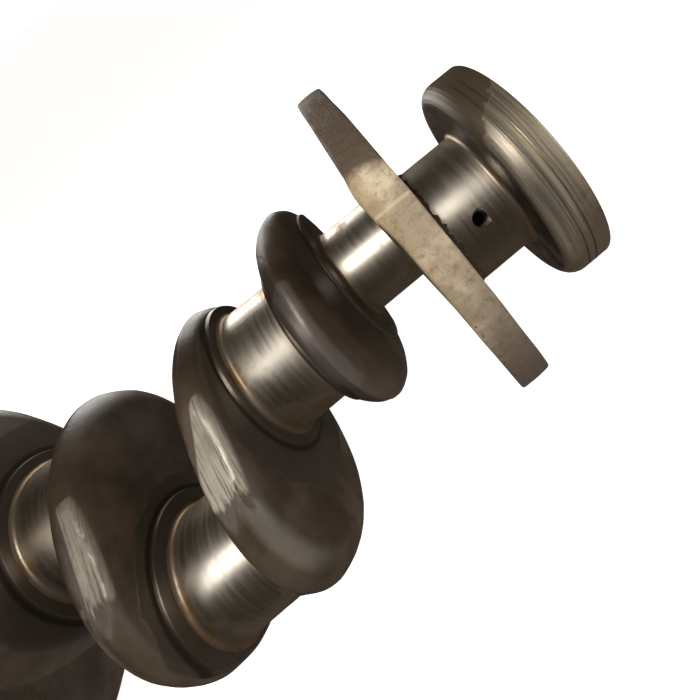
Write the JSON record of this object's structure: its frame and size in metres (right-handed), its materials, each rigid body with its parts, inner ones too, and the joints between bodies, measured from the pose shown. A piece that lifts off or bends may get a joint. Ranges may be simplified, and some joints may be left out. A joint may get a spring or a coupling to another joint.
{
  "type": "crankshaft",
  "caption": "Engine crankshaft with ground journals, oval webs, end counterweights, a flywheel flange and a stepped nose with its timing gear.",
  "frame": {"origin": "centre of the flywheel face, on the axis of the main journals", "axes": "+X along the main journals' axis, out of the flywheel end; +Z from that axis towards crankpin 1, at the front; the nose points along -X"},
  "size_m": [0.3785, 0.14, 0.1405],
  "materials": {
    "turned_rim": "turned rim with satin bands and light rust",
    "ground_steel": "ground and oily",
    "cast_rim": "rough, with dried oil and light rust",
    "dark_forging": "rough and oily",
    "turned_steel": "turned",
    "bearing_steel": "ground",
    "pressed_steel": "pressed sheet",
    "gear_steel": "cut and hardened",
    "brass_cage": "satin",
    "black_rubber": "matt"
  },
  "bodies": {
    "crankshaft": {"flywheel_flange": "turned_rim", "main_journal_4": "ground_steel", "rear_counterweight_web": "cast_rim", "crankpin_3": "ground_steel", "web_5": "dark_forging", "main_journal_3": "ground_steel", "web_4": "dark_forging", "crankpin_2": "ground_steel", "web_3": "dark_forging", "main_journal_2": "ground_steel", "web_2": "dark_forging", "crankpin_1": "ground_steel", "front_counterweight_web": "dark_forging", "main_journal_1": "ground_steel", "nose_shaft": "turned_steel", "flywheel_dowel": "bearing_steel", "pilot_outer_ring": "bearing_steel", "pilot_shields": "pressed_steel", "timing_gear": "gear_steel", "gear_key": "turned_steel", "oil_slinger": "pressed_steel", "seal_collar": "ground_steel", "collar_o_ring": "black_rubber", "pulley_key": "turned_steel"},
    "pilot_inner": {"pilot_inner_ring": "bearing_steel"},
    "pilot_ball_set": {"pilot_balls": "bearing_steel", "pilot_cage": "brass_cage"}
  },
  "joints": [
    {"name": "pilot_spin", "type": "hinge", "parent": "crankshaft", "child": "pilot_inner", "pos_m": [-0.0025, 0, 0], "axis": [1, 0, 0], "continuous": true},
    {"name": "pilot_ball_spin", "type": "hinge", "parent": "crankshaft", "child": "pilot_ball_set", "pos_m": [-0.0025, 0, 0], "axis": [1, 0, 0], "continuous": true}
  ],
  "couplings": [
    {"joint": "pilot_ball_spin", "follows": "pilot_spin", "ratio": 0.381}
  ]
}
